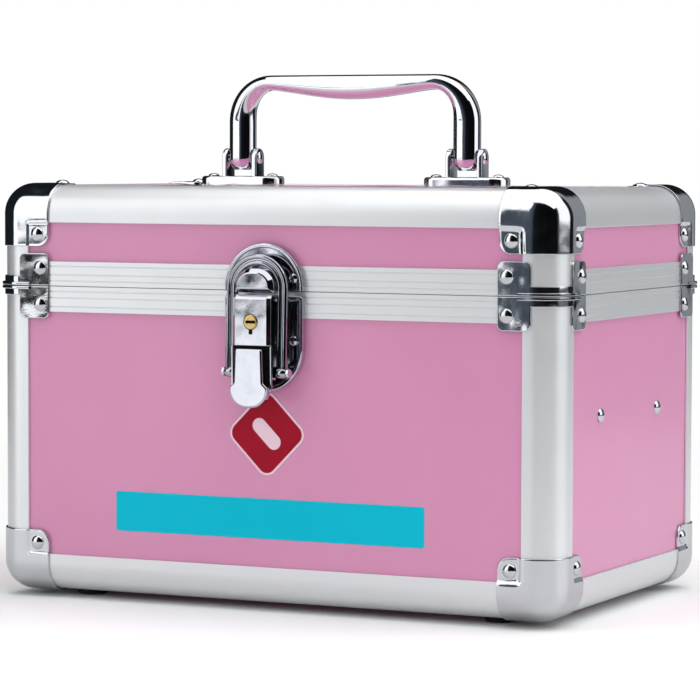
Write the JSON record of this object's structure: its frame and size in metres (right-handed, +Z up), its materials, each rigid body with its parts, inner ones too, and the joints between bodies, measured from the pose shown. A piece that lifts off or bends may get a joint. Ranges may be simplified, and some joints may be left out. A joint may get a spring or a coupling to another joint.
{
  "type": "lockable medicine case",
  "caption": "Lockable case of laminated panels in an aluminium frame with chromed corners, a draw latch with key barrel, a folding handle and a lift-out tray.",
  "frame": {"origin": "under the middle of the whole outline, on the table the feet stand on", "axes": "+Z up, -Y out of the front where the latch is, +X to the right of someone facing the front"},
  "size_m": [0.2596, 0.1854, 0.22],
  "materials": {
    "pink_laminate": "glossy pink laminate on board",
    "satin_aluminium": "satin anodised extrusion",
    "chromed_steel": "bright chrome on pressed steel",
    "brass": "turned brass",
    "black_rubber": "matte moulded rubber",
    "white_plastic": "moulded white plastic"
  },
  "bodies": {
    "case": {"base_frame": "satin_aluminium", "base_rim_front": "satin_aluminium", "base_rim_back": "satin_aluminium", "base_rim_left": "satin_aluminium", "base_rim_right": "satin_aluminium", "tray_rail_left": "satin_aluminium", "tray_rail_right": "satin_aluminium", "base_front_panel": "pink_laminate", "base_back_panel": "pink_laminate", "base_left_panel": "pink_laminate", "base_right_panel": "pink_laminate", "base_floor_panel": "pink_laminate", "base_cap_front_left": "chromed_steel", "base_cap_front_right": "chromed_steel", "base_cap_back_left": "chromed_steel", "base_cap_back_right": "chromed_steel", "base_bracket_front_left": "chromed_steel", "base_bracket_front_right": "chromed_steel", "base_bracket_back_left": "chromed_steel", "base_bracket_back_right": "chromed_steel", "foot_front_left": "black_rubber", "foot_front_right": "black_rubber", "foot_back_left": "black_rubber", "foot_back_right": "black_rubber", "latch_base": "chromed_steel", "hinge_base_leaf_left": "chromed_steel", "hinge_base_leaf_right": "chromed_steel", "hinge_pin_left": "chromed_steel", "hinge_pin_right": "chromed_steel"},
    "lid": {"lid_frame": "satin_aluminium", "lid_rim_front": "satin_aluminium", "lid_rim_back": "satin_aluminium", "lid_rim_left": "satin_aluminium", "lid_rim_right": "satin_aluminium", "lid_front_panel": "pink_laminate", "lid_back_panel": "pink_laminate", "lid_left_panel": "pink_laminate", "lid_right_panel": "pink_laminate", "lid_top_panel": "pink_laminate", "lid_cap_front_left": "chromed_steel", "lid_cap_front_right": "chromed_steel", "lid_cap_back_left": "chromed_steel", "lid_cap_back_right": "chromed_steel", "lid_bracket_front_left": "chromed_steel", "lid_bracket_front_right": "chromed_steel", "lid_bracket_back_left": "chromed_steel", "lid_bracket_back_right": "chromed_steel", "latch_keeper": "chromed_steel", "handle_mount_left": "chromed_steel", "handle_mount_right": "chromed_steel", "handle_pin_left": "chromed_steel", "handle_pin_right": "chromed_steel", "hinge_lid_leaf_left": "chromed_steel", "hinge_lid_leaf_right": "chromed_steel"},
    "handle": {"handle": "chromed_steel"},
    "latch_lever": {"latch_lever": "chromed_steel", "latch_loop_pin": "chromed_steel"},
    "latch_loop": {"latch_loop": "chromed_steel"},
    "key_barrel": {"key_barrel": "brass"},
    "tray": {"tray": "white_plastic"}
  },
  "joints": [
    {"name": "lid_hinge", "type": "hinge", "parent": "case", "child": "lid", "pos_m": [0, 0.08955, 0.131], "axis": [-1, 0, 0], "range_deg": [0, 100]},
    {"name": "handle_fold", "type": "hinge", "parent": "lid", "child": "handle", "pos_m": [0, 0.00425, 0.1847], "axis": [1, 0, 0], "range_deg": [-90, 90]},
    {"name": "latch_lever_lift", "type": "hinge", "parent": "case", "child": "latch_lever", "pos_m": [0, -0.08575, 0.1228], "axis": [-1, 0, 0], "range_deg": [0, 90]},
    {"name": "latch_loop_swing", "type": "hinge", "parent": "latch_lever", "child": "latch_loop", "pos_m": [0, -0.08525, 0.0985], "axis": [-1, 0, 0], "range_deg": [-54, 0]},
    {"name": "key_turn", "type": "hinge", "parent": "latch_lever", "child": "key_barrel", "pos_m": [0, -0.09075, 0.119], "axis": [0, -1, 0], "range_deg": [0, 90]},
    {"name": "tray_lift", "type": "slide", "parent": "case", "child": "tray", "axis": [0, 0, 1], "range_m": [0, 0.044]}
  ],
  "couplings": [
    {"joint": "latch_loop_swing", "follows": "latch_lever_lift", "ratio": -0.6}
  ]
}
